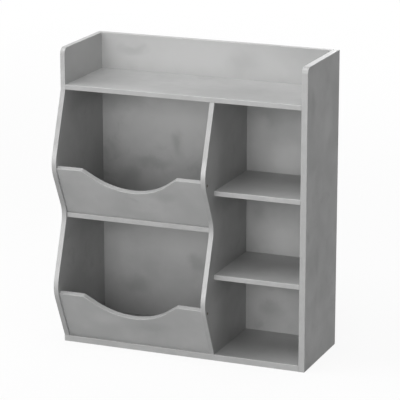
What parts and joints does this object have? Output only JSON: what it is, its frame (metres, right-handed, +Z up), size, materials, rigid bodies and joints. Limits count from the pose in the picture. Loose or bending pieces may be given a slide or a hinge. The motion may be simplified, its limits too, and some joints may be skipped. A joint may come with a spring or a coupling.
{
  "type": "cubby organizer",
  "caption": "Free-standing children's storage unit with a top tray, open cubbies and two slanted bins between wavy sides.",
  "frame": {"origin": "on the floor, under the middle of the whole piece's width and depth", "axes": "+X to the right seen from the front, +Y from the front to the back, +Z up"},
  "size_m": [0.616, 0.2784, 0.724],
  "materials": {
    "grey_board": "satin grey paint with soft cloudy mottling on medium-density fibreboard",
    "beech_dowel": "bare turned beech",
    "zinc_cam": "die-cast zinc",
    "plated_bolt": "zinc-plated steel",
    "plated_screw": "zinc-plated steel"
  },
  "bodies": {
    "root": {"back_panel": "grey_board", "base_board": "grey_board", "divider_panel": "grey_board", "left_side_panel": "grey_board", "lower_bin_front": "grey_board", "lower_cubby_shelf": "grey_board", "right_side_panel": "grey_board", "top_shelf": "grey_board", "upper_bin_floor": "grey_board", "upper_bin_front": "grey_board", "upper_cubby_shelf": "grey_board", "back_panel_dowels": "beech_dowel", "back_panel_screws": "plated_screw", "base_board_cam_bolts": "plated_bolt", "base_board_cam_locks": "zinc_cam", "base_board_dowels": "beech_dowel", "base_board_screws": "plated_screw", "divider_dowels": "beech_dowel", "lower_bin_front_dowels": "beech_dowel", "lower_bin_front_screws": "plated_screw", "lower_cubby_shelf_cam_bolts": "plated_bolt", "lower_cubby_shelf_cam_locks": "zinc_cam", "lower_cubby_shelf_dowels": "beech_dowel", "top_shelf_cam_bolts": "plated_bolt", "top_shelf_cam_locks": "zinc_cam", "top_shelf_dowels": "beech_dowel", "upper_bin_floor_cam_bolts": "plated_bolt", "upper_bin_floor_cam_locks": "zinc_cam", "upper_bin_floor_dowels": "beech_dowel", "upper_bin_front_dowels": "beech_dowel", "upper_bin_front_screws": "plated_screw", "upper_cubby_shelf_cam_bolts": "plated_bolt", "upper_cubby_shelf_cam_locks": "zinc_cam", "upper_cubby_shelf_dowels": "beech_dowel"}
  },
  "joints": []
}
